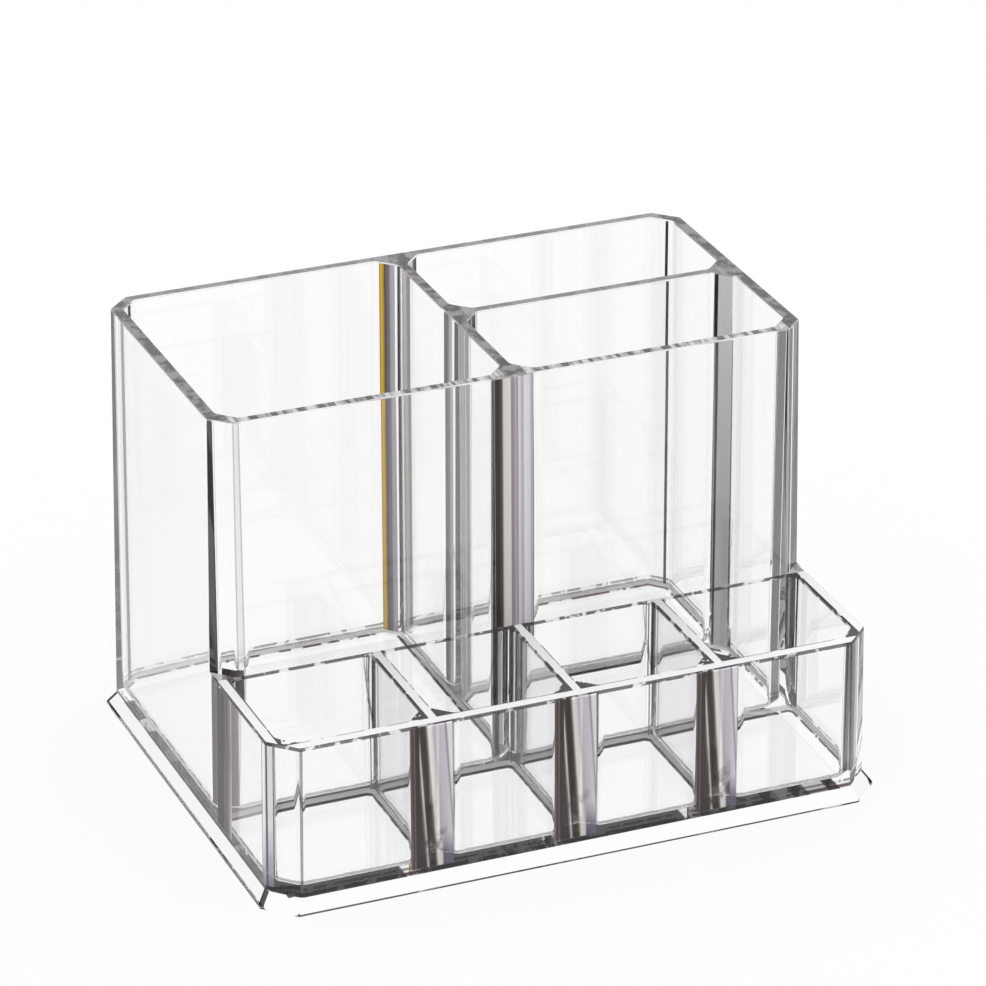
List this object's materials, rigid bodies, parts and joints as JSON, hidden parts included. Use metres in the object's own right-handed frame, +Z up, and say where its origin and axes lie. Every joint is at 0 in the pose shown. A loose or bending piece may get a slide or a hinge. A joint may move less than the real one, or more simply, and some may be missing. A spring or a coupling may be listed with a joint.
{
  "type": "brush and cosmetics organiser",
  "caption": "Clear moulded vanity organiser with tall brush compartments behind a row of low cups, on a bevelled base.",
  "frame": {"origin": "centre of the underside of the base", "axes": "+Z up; -Y towards the front, where the low cups are; +X to the right seen from the front"},
  "size_m": [0.1784, 0.1412, 0.1215],
  "materials": {
    "clear_plastic": "water-clear, polished"
  },
  "bodies": {
    "root": {"bevelled_base": "clear_plastic", "left_tall_wall": "clear_plastic", "right_tall_wall": "clear_plastic", "back_wall": "clear_plastic", "tall_front_wall": "clear_plastic", "left_low_wall": "clear_plastic", "right_low_wall": "clear_plastic", "low_front_wall": "clear_plastic", "centre_divider": "clear_plastic", "cross_divider": "clear_plastic", "cup_divider_left": "clear_plastic", "cup_divider_middle": "clear_plastic", "cup_divider_right": "clear_plastic"}
  },
  "joints": []
}
